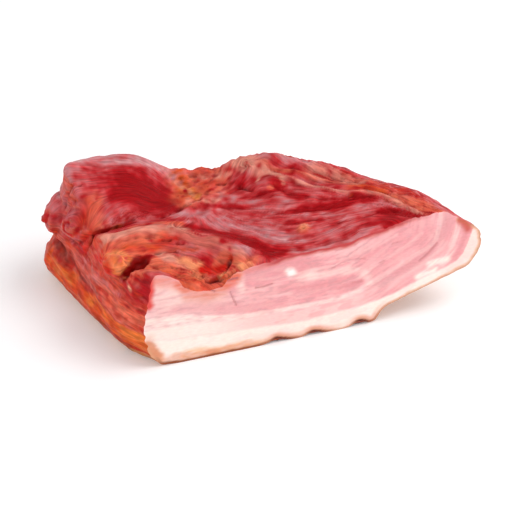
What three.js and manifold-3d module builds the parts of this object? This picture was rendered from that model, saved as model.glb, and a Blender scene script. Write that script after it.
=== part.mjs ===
// A slab of smoked streaky bacon, lying on its rind.
//
// The slab is one piece of pork belly. Its smoked skin is closed all round: the rind underneath, the
// lean on top with its humps, rolls and torn pockets, and the ends between them. One knife stroke has
// then opened it, and left the flat face that shows the fat and the lean in layers. It is made here
// in the same order: a whole smoked slab, muscles laid on it, pockets torn into it, and the cut.
//
// Millimetres. While it is shaped, x runs along the cut from its left corner, y runs back from the
// cut, and z is the height above the table. At the end the slab is moved so that the origin is in
// the middle of the surface it rests on.

import * as THREE from "three";
import { mergeVertices } from "three/addons/utils/BufferGeometryUtils.js";
import Module from "manifold-3d";

// ---- Driving dimensions -------------------------------------------------------------------------

const CUT_LENGTH = 171; // the fresh cut, from the smoked left end to the nose of the rind
const SLAB_DEPTH = 118; // from the cut to the furthest point of the back edge
const LEAN_HEIGHT = 43.5; // the lean surface above the table, where it is lowest
const NOSE_LIFT = 11.5; // how much higher the lean lies where the slab curls up at the nose
const RIND_SLOPE = 0.31; // rise of the rind per millimetre towards the nose
const BEFORE_CUT = 8; // meat in front of the cut, which the knife takes away

const CELLS = { along: 48, back: 30, up: 11 }; // cells of the skin mesh in x, y and z

// ---- Small helpers ------------------------------------------------------------------------------

const point = (x, y) => new THREE.Vector2(x, y);
const clamp = (t) => Math.min(1, Math.max(0, t));
const ease = (from, to, t) => THREE.MathUtils.smoothstep(t, from, to);
const bell = (t) => Math.exp(-t * t);

// A soft mound on the lean, or a hollow when its rise is negative: at is its middle, reach its half
// lengths, turn the angle of its long side in degrees, and flat how level its top is.
function mound({ at, reach, rise, turn = 0, flat = 1 }, x, y) {
  const angle = THREE.MathUtils.degToRad(turn);
  const dx = x - at[0];
  const dy = y - at[1];
  const along = (dx * Math.cos(angle) + dy * Math.sin(angle)) / reach[0];
  const across = (dy * Math.cos(angle) - dx * Math.sin(angle)) / reach[1];
  return rise * Math.exp(-((along * along + across * across) ** flat));
}

// ---- The outline in plan ------------------------------------------------------------------------

// The four sides of the slab at its widest height. The right side is the belly's own edge, which
// runs diagonally back from the nose.
const corner = {
  frontLeft: point(-4, -BEFORE_CUT),
  frontRight: point(CUT_LENGTH + 1, -BEFORE_CUT),
  backLeft: point(-21, SLAB_DEPTH - 4),
  backRight: point(113, SLAB_DEPTH - 26),
};

const side = {
  front: new THREE.LineCurve(corner.frontLeft, corner.frontRight),
  left: new THREE.SplineCurve([
    corner.frontLeft,
    point(-3, 0),
    point(-11, 16),
    point(-16, 38),
    point(-20, 62),
    point(-24, 88),
    point(-25.5, 101),
    corner.backLeft,
  ]),
  back: new THREE.SplineCurve([
    corner.backLeft,
    point(5, SLAB_DEPTH + 1),
    point(28, SLAB_DEPTH - 4),
    point(48, SLAB_DEPTH - 11),
    point(70, SLAB_DEPTH - 14),
    point(95, SLAB_DEPTH - 19),
    corner.backRight,
  ]),
  right: new THREE.SplineCurve([
    corner.frontRight,
    point(CUT_LENGTH, 0),
    point(CUT_LENGTH - 4, 15),
    point(159, 40),
    point(144, 63),
    point(128, 80),
    corner.backRight,
  ]),
};

// The point of the plan at shares a from left to right and b from front to back.
function planPoint(a, b) {
  const between = new THREE.Vector2()
    .addScaledVector(side.front.getPointAt(a), 1 - b)
    .addScaledVector(side.back.getPointAt(a), b)
    .addScaledVector(side.left.getPointAt(b), 1 - a)
    .addScaledVector(side.right.getPointAt(b), a);
  return between
    .addScaledVector(corner.frontLeft, -(1 - a) * (1 - b))
    .addScaledVector(corner.frontRight, -a * (1 - b))
    .addScaledVector(corner.backLeft, -(1 - a) * b)
    .addScaledVector(corner.backRight, -a * b);
}

// ---- The lean surface on top and the rind below -------------------------------------------------

const LEAN_MOUNDS = [
  { at: [2.5, 105], reach: [37, 35], rise: 13.3, turn: -6, flat: 2.6 }, // the big back left hump
  { at: [-17, 104], reach: [10, 15], rise: 3.2 }, // its square back corner
  { at: [1, 2], reach: [15, 12], rise: 7, flat: 1.8 }, // the lump at the cut's left corner
  { at: [10, 46], reach: [28, 9], rise: 5, turn: 3 }, // the roll in front of the big hump
  { at: [44, 24], reach: [26, 8], rise: 4.5, turn: -50 }, // the same roll, turning to the cut
  { at: [25, 11], reach: [17, 12], rise: -5.5, turn: -8 }, // the torn hollow behind the cut
  { at: [54, 106], reach: [17, 16], rise: 4 }, // the saddle between the humps
  { at: [102, 88], reach: [29, 22], rise: 5.2, turn: -24 }, // the crest of the back hump
  { at: [141, 40], reach: [16, 12], rise: -2.4, turn: -60 }, // the dip beyond it
];

// Long shallow furrows between the muscles, which fan out from one point behind the torn hollow.
const FAN = { from: [42, 66], reach: 46, depth: 1.1, every: 0.36, fade: 26 };

function furrows(x, y) {
  const dx = x - FAN.from[0];
  const dy = y - FAN.from[1];
  const distance = Math.hypot(dx, dy);
  const turn = (Math.atan2(dy, dx) * 2 * Math.PI) / FAN.every;
  const wave = Math.cos(turn + 1.4 * Math.sin(distance / FAN.fade) + 0.5 * Math.sin(2.3 * turn));
  return FAN.depth * wave * ease(8, FAN.reach, distance) * ease(0, 20, dx);
}

const backSlope = (x) => 0.02 + 0.09 * ease(61, 93, x) * (1 - 0.8 * ease(105, 145, x));

function leanHeight(x, y) {
  const towardsNose = clamp((x - 58) / 89);
  let z = LEAN_HEIGHT + 1.5 * ease(30, 60, x) + (NOSE_LIFT - 1) * towardsNose ** 1.35;
  z += Math.max(0, y) * backSlope(x) + furrows(x, y);
  for (const m of LEAN_MOUNDS) z += mound(m, x, y);
  return z;
}

// Where folds of the rind stand clear of the table along the cut: x, half width and height.
const RIND_FOLDS = [
  [63, 4.2, 2.4],
  [82, 3.2, 2.3],
  [106.5, 3.2, 3.6],
];
const FOLD_REACH = 26; // how far back from the cut the folds run
const CURL_FROM = 114; // the rind leaves the table here, with a step of one last fold
const CURL_STEP = [5, 0.8]; // the step is this long at the cut, and this much longer per mm of y
const CURL_LINE = 94.5; // where the rind's slope would meet the table
const CURL_TURN = 0.5; // the curl follows the diagonal side: it starts this much earlier per mm of y
const CORNER_LIFT = { rise: 1.2, until: 15 }; // the rind is a little clear of the table at the left

function rindHeight(x, y) {
  const back = Math.max(0, y);
  const reach = x + CURL_TURN * back;
  const step = ease(CURL_FROM, CURL_FROM + CURL_STEP[0] + CURL_STEP[1] * back, reach);
  let z = step * RIND_SLOPE * Math.max(0, reach - CURL_LINE);
  z += CORNER_LIFT.rise * (1 - ease(0, CORNER_LIFT.until, x)) * (1 - ease(0, CORNER_LIFT.until, back));
  for (const [at, halfWidth, height] of RIND_FOLDS)
    z += height * bell((x - at) / halfWidth) * bell(back / FOLD_REACH);
  return z < 0.05 ? 0 : z;
}

// ---- The ends between them ----------------------------------------------------------------------

// How a side rounds off: bulge is the share of the height where it stands out furthest, foot how far
// it curls in below that, shoulder how far it comes in above it, power how late it does so, and round
// how much of that is a quarter circle. The left end leans in more and more towards the back.
const LEFT_AT_CUT = { bulge: 0.4, foot: 8, shoulder: 5, power: 1.4, round: 0.4 };
const LEFT_AT_BACK = { bulge: 0.25, foot: 7, shoulder: 14.5, power: 0.5, round: 0.02 };
const BACK = { bulge: 0.45, foot: 6, shoulder: 8, power: 1.4, round: 0.6 };
const RIGHT = { bulge: 0.48, foot: 7, shoulder: 23, power: 1.4, round: 0.2 };
const RIGHT_INWARD = point(-0.86, -0.51); // the right side is diagonal, and so is the way in
const EDGE_FALLOFF = 4; // the power with which a side's rounding fades towards the middle

function blend(from, to, share) {
  const mixed = {};
  for (const key of Object.keys(from)) mixed[key] = THREE.MathUtils.lerp(from[key], to[key], share);
  return mixed;
}

function wallInset({ bulge, foot, shoulder, power, round }, c) {
  if (c < bulge) return foot * ((bulge - c) / bulge) ** 3.2;
  const t = (c - bulge) / (1 - bulge);
  return shoulder * ((1 - round) * t ** power + round * (1 - Math.sqrt(1 - t * t)));
}

// The crease in the left end, between the fat above the rind and the lean over it. It starts a
// little behind the cut and deepens towards the back.
const CREASE = { height: 21, halfHeight: 3.2, depth: 4.5 };

function creaseDepth(y, z) {
  const deepening = ease(0.1, 0.85, y / SLAB_DEPTH);
  return CREASE.depth * deepening * bell((z - CREASE.height) / CREASE.halfHeight);
}

// The cells are lower near the rind and near the lean, where the ends round off.
const crowd = (t) => 0.3 * t + 0.35 * (1 - Math.cos(Math.PI * t));

function skinPoint(a, b, share) {
  const c = crowd(share);
  const plan = planPoint(a, b);
  plan.x += wallInset(blend(LEFT_AT_CUT, LEFT_AT_BACK, b), c) * (1 - a) ** EDGE_FALLOFF;
  plan.y -= wallInset(BACK, c) * b ** EDGE_FALLOFF;
  plan.addScaledVector(RIGHT_INWARD, wallInset(RIGHT, c) * a ** EDGE_FALLOFF);
  const top = leanHeight(plan.x, plan.y);
  const bottom = rindHeight(plan.x, plan.y);
  const z = bottom + c * (top - bottom);
  if (a === 0) plan.x += creaseDepth(plan.y, z);
  return [plan.x, plan.y, z];
}

// A closed box of small cells, with every vertex moved to its place on the smoked skin.
function smokedSkin() {
  const box = new THREE.BoxGeometry(1, 1, 1, CELLS.along, CELLS.back, CELLS.up);
  const position = box.getAttribute("position");
  const snap = (t) => Math.round((t + 0.5) * 1e6) / 1e6;
  for (let i = 0; i < position.count; i++) {
    const share = [position.getX(i), position.getY(i), position.getZ(i)].map(snap);
    position.setXYZ(i, ...skinPoint(...share));
  }
  return box;
}

// ---- Muscles and pockets ------------------------------------------------------------------------

// Muscle ends and lumps of fat that stand out of the slab, as lumpy balls: at is the middle, reach
// the half axes, turn the angle about z in degrees, and sides the facets round and from end to end.
const MUSCLES = [
  { at: [2, 98, 35.5], reach: [27.5, 16.5, 13], turn: 0, sides: [24, 14] }, // rolled end, back
  { at: [5, 75.5, 40.5], reach: [25, 14.5, 13], turn: 0, sides: [24, 14] }, // rolled end, middle
  { at: [-6.5, 31, 41.4], reach: [7, 9, 5], turn: 15, sides: [18, 12] }, // fat by the pocket
];

// Pockets that the knife and the hook left in the lean, in the same way.
const POCKETS = [
  { at: [-1, 23, 45], reach: [11.5, 4.4, 8], turn: 30, sides: [18, 12] }, // deep slit by the corner
  { at: [-2, 59.5, 45], reach: [14, 1.7, 7], turn: 2, sides: [18, 12] }, // slit under the hump
  { at: [37.5, 11, 46], reach: [8, 6, 6.5], turn: 40, sides: [16, 12] }, // hollow behind the cut
  { at: [28.5, -2, 47], reach: [14.5, 11, 10.5], turn: 0, sides: [22, 14] }, // tear in the cut's edge
];

const LUMPS = 0.05; // how far their surface swells and sinks, as a share of its reach

function lumpyBall({ at, reach, turn, sides }) {
  const ball = new THREE.SphereGeometry(1, ...sides);
  const position = ball.getAttribute("position");
  const spot = new THREE.Vector3();
  for (let i = 0; i < position.count; i++) {
    spot.fromBufferAttribute(position, i);
    const swell = Math.sin(4.3 * spot.x + 2 * spot.y + at[0]) * Math.cos(3.4 * spot.z - spot.y);
    spot.multiplyScalar(1 + LUMPS * swell);
    position.setXYZ(i, ...spot);
  }
  ball.scale(...reach);
  ball.rotateZ(THREE.MathUtils.degToRad(turn));
  ball.translate(...at);
  return ball;
}

// ---- Joining and cutting ------------------------------------------------------------------------

const wasm = await Module();
wasm.setup();

function solidOf(geometry) {
  geometry.deleteAttribute("normal");
  geometry.deleteAttribute("uv");
  const merged = mergeVertices(geometry, 1e-4);
  return new wasm.Manifold(
    new wasm.Mesh({
      numProp: 3,
      vertProperties: merged.getAttribute("position").array,
      triVerts: new Uint32Array(merged.getIndex().array),
    }),
  );
}

function geometryOf(solid) {
  const { vertProperties, triVerts } = solid.getMesh();
  const geometry = new THREE.BufferGeometry();
  geometry.setAttribute("position", new THREE.BufferAttribute(vertProperties, 3));
  geometry.setIndex(new THREE.BufferAttribute(triVerts, 1));
  geometry.computeVertexNormals();
  return geometry;
}

// The knife takes everything in front of the plane y = 0.
function knife() {
  const blade = new THREE.BoxGeometry(3 * CUT_LENGTH, 4 * BEFORE_CUT, 3 * CUT_LENGTH);
  blade.translate(CUT_LENGTH / 2, -2 * BEFORE_CUT, 0);
  return blade;
}

function baconSlab() {
  let slab = solidOf(smokedSkin());
  for (const muscle of MUSCLES) slab = slab.add(solidOf(lumpyBall(muscle)));
  for (const pocket of POCKETS) slab = slab.subtract(solidOf(lumpyBall(pocket)));
  return slab.subtract(solidOf(knife()));
}

const slab = new THREE.Mesh(
  geometryOf(baconSlab()),
  new THREE.MeshStandardMaterial({ color: 0xa8393a, roughness: 0.42, metalness: 0 }),
);
slab.name = "bacon_slab";

// The origin goes to the middle of the slab's footprint, on the table.
const box = new THREE.Box3().setFromObject(slab);
slab.position.set(-(box.min.x + box.max.x) / 2, -(box.min.y + box.max.y) / 2, -box.min.z);

const bacon = new THREE.Group();
bacon.add(slab);

export default bacon;
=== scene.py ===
# %% [markdown]
# # A slab of smoked streaky bacon
# The object is one piece of pork belly, smoked whole and then opened with one cut. It lies on its rind.
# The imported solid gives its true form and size. This script dresses that solid: it makes the skin fine
# enough to carry the grain of the meat, moves it into strands, seams and torn places, cuts it once more
# with a fine blade, and gives the smoked skin and the fresh cut their own finishes.

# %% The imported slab
from types import SimpleNamespace
import bmesh
import bpy
import numpy as np
from mathutils import Matrix, Vector, kdtree, noise


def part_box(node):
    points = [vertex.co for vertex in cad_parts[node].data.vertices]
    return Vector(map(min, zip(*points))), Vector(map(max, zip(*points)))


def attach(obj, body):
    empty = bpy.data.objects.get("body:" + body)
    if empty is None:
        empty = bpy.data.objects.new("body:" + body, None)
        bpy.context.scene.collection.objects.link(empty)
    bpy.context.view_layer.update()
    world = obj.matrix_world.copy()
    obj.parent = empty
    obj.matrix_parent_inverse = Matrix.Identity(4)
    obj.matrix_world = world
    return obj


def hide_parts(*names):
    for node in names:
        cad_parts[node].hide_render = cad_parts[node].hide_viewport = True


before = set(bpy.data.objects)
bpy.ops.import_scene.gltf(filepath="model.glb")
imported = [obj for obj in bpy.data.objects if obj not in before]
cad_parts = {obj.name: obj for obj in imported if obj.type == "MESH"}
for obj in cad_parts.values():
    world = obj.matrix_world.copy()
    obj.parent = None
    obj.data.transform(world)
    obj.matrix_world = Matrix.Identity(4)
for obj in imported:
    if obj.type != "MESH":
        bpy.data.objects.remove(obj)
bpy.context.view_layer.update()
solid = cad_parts["bacon_slab"]
low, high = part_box("bacon_slab")
print("slab, mm:", [round(1000 * s, 1) for s in high - low])

# %% [markdown]
# ## Where things are
# All places in this script are in millimetres on the slab itself: x runs along the cut from its left
# corner, y runs back from the cut, and z is the height above the table. A cook would point at the
# meat in the same way. One offset turns these places into the frame's metres.

# %% Slab places and the frame
CUT_LENGTH = 171.0  # from the cut's left corner to the tip of the nose
CORNER = np.array([1000 * high.x - CUT_LENGTH, 1000 * low.y, 0.0])  # in the frame's millimetres


def frame_metres(places):
    return (np.asarray(places, float) + CORNER) / 1000


def slab_mm(metres):
    return np.asarray(metres, float) * 1000 - CORNER


print("cut plane at y =", round(low.y, 4), "m")

# %% [markdown]
# ## A fine skin
# The solid has faces a few millimetres wide, and the grain of smoked meat is about one millimetre.
# A voxel remesh lays an even net over the whole solid, so that every place can be sculpted alike. The
# net would also round the sharp edge of the cut, so the slab is first drawn out past the cut, and is
# cut again at the end. A few passes of smoothing take away the facets.

# %% Draw the slab out past the cut and lay the net
BEYOND = 5.0  # mm of spare meat in front of the cut
NET = 1.0  # mm between the threads of the net
SMOOTHING = 7  # passes
SAME_PLACE = 1e-5  # metres: points nearer than this are one


def piece_from(bm, name):
    mesh = bpy.data.meshes.new(name)
    bm.to_mesh(mesh)
    bm.free()
    made = bpy.data.objects.new(name, mesh)
    bpy.context.scene.collection.objects.link(made)
    return made


def apply_modifiers(piece):
    depsgraph = bpy.context.evaluated_depsgraph_get()
    baked = bpy.data.meshes.new_from_object(piece.evaluated_get(depsgraph))
    piece.modifiers.clear()
    piece.data = baked


bm = bmesh.new()
bm.from_mesh(solid.data)
bmesh.ops.remove_doubles(bm, verts=bm.verts, dist=SAME_PLACE)
face_of_cut = [
    f for f in bm.faces if f.normal.y < -0.99 and f.calc_center_median().y < low.y + SAME_PLACE
]
drawn = bmesh.ops.extrude_face_region(bm, geom=face_of_cut)
spare = [v for v in drawn["geom"] if isinstance(v, bmesh.types.BMVert)]
bmesh.ops.translate(bm, verts=spare, vec=(0, -BEYOND / 1000, 0))
bmesh.ops.delete(bm, geom=[f for f in face_of_cut if f.is_valid], context="FACES")
print("open edges:", sum(not e.is_manifold for e in bm.edges))

slab = piece_from(bm, "smoked_slab")
net = slab.modifiers.new("net", "REMESH")
net.mode = "VOXEL"
net.voxel_size = NET / 1000
apply_modifiers(slab)

bm = bmesh.new()
bm.from_mesh(slab.data)
for _ in range(SMOOTHING):
    bmesh.ops.smooth_vert(
        bm, verts=bm.verts, factor=0.5, use_axis_x=True, use_axis_y=True, use_axis_z=True
    )
bm.to_mesh(slab.data)
bm.free()
print("net:", len(slab.data.vertices), "points")

# %% [markdown]
# ## Tools of the sculptor
# Each sculpting step asks where a point is, which way it faces, and how near it is to a line drawn on
# the meat. Blender's own noise makes the uneven part of every step, because nothing on meat is even.

# %% Points, facing, noise and lines
def points_of(piece):
    co = np.empty(3 * len(piece.data.vertices))
    piece.data.vertices.foreach_get("co", co)
    return slab_mm(co.reshape(-1, 3))


def facing_of(piece):
    n = np.empty(3 * len(piece.data.vertices))
    piece.data.vertex_normals.foreach_get("vector", n)
    return n.reshape(-1, 3)


def ease(start, end, value):
    t = np.clip((np.asarray(value, float) - start) / (end - start), 0, 1)
    return t * t * (3 - 2 * t)


def bell(value):
    return np.exp(-np.square(value))


def uneven(places, sizes, seed, octaves=1):
    """Noise from about -1 to 1, whose lumps have these sizes in mm along x, y and z."""
    at = np.column_stack([places[:, i] / sizes[i] for i in range(3)]) + 17.3 * seed
    if octaves == 1:
        return np.array([noise.noise(q) for q in at.tolist()])
    return np.array([noise.fractal(q, 0.7, 2.1, octaves) for q in at.tolist()])


def near_line(across, up, line, half_width, soft=0.5):
    """1 on a line through these places, falling to 0 outside its half width."""
    line = np.asarray(line, float)
    best = np.full(len(across), 1e9)
    for (ax, ay), (bx, by) in zip(line[:-1], line[1:]):
        dx, dy = bx - ax, by - ay
        t = np.clip(((across - ax) * dx + (up - ay) * dy) / (dx * dx + dy * dy + 1e-9), 0, 1)
        best = np.minimum(best, np.hypot(across - ax - t * dx, up - ay - t * dy))
    return 1 - ease(half_width * (1 - soft), half_width * (1 + soft), best)

# %% [markdown]
# ## The way the strands run
# Lean meat is bundles of fibres. On top of this slab they gather at one point behind the torn hollow:
# the big hump's strands come in from the left, and the flat muscle's strands spread out to the right.
# Each guide line below follows one strand and has a number. Between the lines the numbers are
# relaxed like heat in a plate, and a pattern that only changes with the number runs along the strands.

# %% Guide lines over the lean
MEETING = (50, 68)  # where the strands come together
STRANDS = [
    (0, [(-14, 60), (-5, 61.5), (8, 65), (16, 66), (28, 66), (40, 71.5), MEETING]),
    (14, [(-24, 80), (-8, 78), (0, 76), (15, 78), (30, 74), MEETING]),
    (30, [(-26, 97), (-10, 94), (0, 93), (22, 88), (38, 78), MEETING]),
    (46, [(-17, 115), (8, 114), (30, 105), (40, 93), (43, 80), MEETING]),
    (60, [(75, 104), (62, 92), (57, 80), MEETING]),
    (72, [(101, 99), (82, 86), (65, 74), MEETING]),
    (84, [
        (141, 0), (137, 6), (131, 21), (126, 27), (112, 34), (103, 44), (92, 55), (80, 62), MEETING,
    ]),
    (80, [
        (79, 85), (86, 71), (91, 61), (98, 55), (104, 48), (109, 40), (123, 34.5), (135, 22), (141, 5),
    ]),
    (68, [(90, 99), (100, 85), (108, 68), (122, 52), (136, 36), (148, 18), (152, 4)]),
    (54, [(113, 94), (128, 82), (145, 64), (160, 41), (168, 16), (172, 0)]),
    (98, [(139, 0), (130, 20), (122, 28), (102, 32.5), (92, 36), (80, 42), (66, 54), MEETING]),
    (112, [(137, 0), (125, 20), (114, 22.5), (102, 22.5), (92, 23), (82, 27), (72, 35), (58, 50), MEETING]),
    (126, [(134, 0), (122, 13), (94, 11.5), (82, 12.5), (72, 17), (66, 25), (54, 40), (50, 52), MEETING]),
    (138, [(120, 0), (97, 3), (80, 2), (66, 4), (60, 12), (54, 21), (48, 29), (40, 36), (28, 42)]),
    (150, [(-12, 51), (-1, 47.5), (10, 46), (20, 45.5), (28, 40), (36, 31.5), (43, 24), (50, 15), (58, 4)]),
    (164, [(-14, 57), (-5, 58), (8, 61), (16, 62), (28, 60), (40, 64)]),
    (162, [(-12, 30), (5, 26), (20, 26), (30, 16), (36, 4)]),
    (178, [(-8, 12), (5, 8), (15, 10), (25, 5), (28, 0)]),
]
PLATE = 1.5  # mm between the plate's cells
PLATE_AT = (-32.0, -8.0)
PLATE_CELLS = (140, 90)


def relaxed_plate(lines, rounds=900):
    """Holds each guide line at its number and lets the numbers between them even out."""
    nx, ny = PLATE_CELLS
    held = {}
    for level, line in lines:
        for (ax, ay), (bx, by) in zip(line[:-1], line[1:]):
            for t in np.linspace(0, 1, 2 + int(np.hypot(bx - ax, by - ay) / PLATE * 2)):
                i = int(round((ax + t * (bx - ax) - PLATE_AT[0]) / PLATE))
                j = int(round((ay + t * (by - ay) - PLATE_AT[1]) / PLATE))
                if 0 <= i < nx and 0 <= j < ny:
                    held[j, i] = level
    rows, columns = np.array(list(held)).T
    values = np.array(list(held.values()), float)
    jj, ii = np.mgrid[0:ny, 0:nx]
    # A first guess by distance, because the heat alone would take far more rounds.
    away = (jj[..., None] - rows) ** 2 + (ii[..., None] - columns) ** 2 + 0.01
    heat = (away**-1.5 * values).sum(-1) / (away**-1.5).sum(-1)
    for _ in range(rounds):
        edge = np.pad(heat, 1, mode="edge")
        heat = (edge[:-2, 1:-1] + edge[2:, 1:-1] + edge[1:-1, :-2] + edge[1:-1, 2:]) / 4
        heat[rows, columns] = values
    return heat


plate = relaxed_plate(STRANDS)


def strand_number(places):
    """The strand at each place, read between the plate's cells."""
    u = np.clip((places[:, 0] - PLATE_AT[0]) / PLATE, 0, PLATE_CELLS[0] - 1.001)
    v = np.clip((places[:, 1] - PLATE_AT[1]) / PLATE, 0, PLATE_CELLS[1] - 1.001)
    i, j = u.astype(int), v.astype(int)
    a, b = u - i, v - j
    front = plate[j, i] * (1 - a) + plate[j, i + 1] * a
    back = plate[j + 1, i] * (1 - a) + plate[j + 1, i + 1] * a
    return front * (1 - b) + back * b


def tangle(places):
    """Behind the meeting point the strands are torn and lie across each other."""
    return near_line(places[:, 0], places[:, 1], [MEETING, (50, 82), (54, 104)], 15, 0.5)


print("strand numbers run from", round(plate.min()), "to", round(plate.max()))

# %% [markdown]
# ## The parts of the surface
# The same few questions decide both the relief and the colour: is this the lean on top, an end of the
# slab, the rind underneath, or the inside of a pocket? The answers are soft masks from 0 to 1.

# %% Masks of the surface
POCKETS = {  # middle, half lengths and turn of the places torn and cut into the lean
    "corner": ((-1, 23, 45), (11.5, 4.4, 8), 30),
    "slit": ((-2, 59.5, 45), (14, 1.7, 7), 2),
    "hollow": ((37.5, 11, 46), (8, 6, 6.5), 40),
    "tear": ((28.5, -2, 47), (14.5, 11, 10.5), 0),
}
FAT_BEAD = ((-6.5, 31, 41.4), (7, 9, 5), 15)
RIND_FOLDS = [(63.5, 4.5), (82.5, 3.6), (106.8, 3.4)]  # x and half width at the cut


def in_lump(places, middle, reach, turn):
    """How deep a place is in a lumpy ball: 0 at its middle, 1 at its skin."""
    d = places - np.array(middle, float)
    c, s = np.cos(np.radians(turn)), np.sin(np.radians(turn))
    along, across = c * d[:, 0] + s * d[:, 1], c * d[:, 1] - s * d[:, 0]
    return np.sqrt((along / reach[0]) ** 2 + (across / reach[1]) ** 2 + (d[:, 2] / reach[2]) ** 2)


def rind_height(places):
    """How high the rind has curled up on its way to the nose, in mm."""
    back = np.maximum(0, places[:, 1])
    reach = places[:, 0] + 0.5 * back
    return ease(114, 119 + 0.8 * back, reach) * 0.31 * np.maximum(0, reach - 94.5)


def surface_masks(places, facing):
    """The parts of the surface, and under "above" the mm above the rind."""
    m = {}
    m["above"] = places[:, 2] - rind_height(places)
    m["rind"] = ease(0.25, 0.6, -facing[:, 2]) * (1 - ease(4, 9, m["above"]))
    under_nose = ease(98, 108, places[:, 0] + 0.5 * places[:, 1]) * (1 - ease(1.5, 3, m["above"]))
    m["rind"] = np.maximum(m["rind"], under_nose)
    m["top"] = ease(0.25, 0.65, facing[:, 2]) * ease(20, 28, places[:, 2])
    m["wall"] = np.clip(1 - m["top"] - m["rind"], 0, 1)
    for name, (middle, reach, turn) in POCKETS.items():
        m[name] = 1 - ease(0.98, 1.12, in_lump(places, middle, reach, turn))
    m["tear"] *= ease(-6, 1, places[:, 1])
    m["left"] = m["wall"] * ease(0.1, 0.5, -facing[:, 0])
    return m

# %% [markdown]
# ## Relief
# A sculptor would work from large to small: the seams between muscles, the crags where the meat was
# torn, then the strands. Every move is along the surface's own direction, so the slab keeps its form.

# %% Lines that the relief and the colours share
SEAM_SLIT = [(-12, 60), (-4, 58), (3, 59), (9, 61), (16.6, 60), (24, 60), (33, 65), (41, 69)]
FRONT_RIDGE = [
    (-10, 51), (-1.5, 47.5), (10, 46), (20, 45.5), (28, 40), (36, 31.5), (43, 24), (50, 15.5),
    (57, 10),
]
PALE_SEAM = [
    (79, 84), (83, 79), (86.6, 70), (90, 61), (97, 55), (103, 48), (108, 40), (114, 35),
    (122.7, 33.5), (129.5, 28.5), (133.3, 21.5), (136, 12.3), (139, 4),
]
UPPER_SEAM = [(85, 78), (91, 67), (99, 59), (111, 51), (124, 40), (136, 26)]
FURROWS = [
    [(22, 44), (31, 43.8), (37, 41), (41, 36), (47, 31)],
    [(54, 61), (60, 57), (66, 53), (74, 47)],
    [(69, 61), (74, 57), (79, 52)],
    [(70, 71), (72, 68), (75, 61)],
    [(84, 59), (87, 55), (88, 46), (94, 41)],
    [(72, 40), (80, 37), (92, 33.5), (102, 29.5)],
    [(74, 30), (80, 26.6), (92, 22), (104, 19)],
    [(100, 36), (110, 33), (122, 30), (129, 24)],
    [(100, 15), (109, 13.5), (122, 15), (131, 12)],
    [(61, 13), (64, 7), (75, 4), (92, 5), (105, 4)],
    [(97, 66), (105, 60), (113, 55), (124, 46)],
    [(96, 86), (106, 74), (120, 60), (136, 46)],
]
GROOVES = [  # narrow cuts: depth and half width in mm, line
    (2.0, 1.8, [(-11, 60), (-5, 58.5)]),
    (1.4, 1.2, [(-5, 58.5), (3, 60.2)]),
    (1.6, 0.9, [(43.6, 12.5), (41, 8.5), (37, 5.5), (31.5, 5)]),
    (1.2, 0.7, [(29.6, 6), (35, 3.4), (42, 1.2)]),
    (1.0, 0.8, [(-15, 89.5), (-12, 87), (-8, 85)]),
    (0.9, 0.7, [(19, 37), (22, 36.3)]),
    (0.9, 0.7, [(24.5, 33.5), (27, 32)]),
    (0.6, 0.9, [(61.5, 79.8), (65, 78)]),
    (0.5, 0.8, [(70, 71), (72, 67.5), (74, 62)]),
    (0.9, 0.9, [(12, 30), (16, 30.5), (21, 29.5)]),
    (0.7, 0.8, [(6, 41), (14, 40.5), (22, 38.5)]),
]
CRAGS = [  # places where the surface is torn and lumpy: line and half width
    ([(47, 72), (52, 84), (56, 104)], 11),
    ([(60, 100), (85, 95), (105, 86), (122, 74)], 9),
    ([(-8, 38), (8, 37), (22, 33), (30, 24)], 8),
    ([(0, 14), (12, 16), (24, 14)], 10),
    ([(104, 72), (120, 56), (134, 40), (146, 20)], 7),
    ([(42, 8), (50, 6), (56, 6)], 5),
]
BULGES = [  # part, rise and half width in mm, line: in x and y on top, in y and z at the left
    ("left", 0.7, 4.5, [(82, 14), (96, 14)]),
    ("left", 1.2, 6, [(86, 32), (96, 31)]),
    ("top", 1.6, 6, [(-12, 98), (-3, 102)]),
    ("top", -1.5, 7, [(108, 60), (122, 51)]),
]
ROLLS = [(73, 42.5), (99, 36)]  # middles of the rolled muscle ends at the left: y and z
RING_PITCH = 5.2  # mm from ring to ring of a roll
NODULE = (84, 19)  # a small bead of fat on the lean: x and y
ROUND_LUMP = (84.5, 64)


def rings(y, z, middle, drift):
    """How far a place is from a roll's middle, and the roll's spiral as waves from -1 to 1."""
    dy, dz = y - middle[0], z - middle[1]
    r = np.hypot(dy, dz) + drift
    return r, np.cos(2 * np.pi * r / RING_PITCH + np.arctan2(dz, dy))

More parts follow.
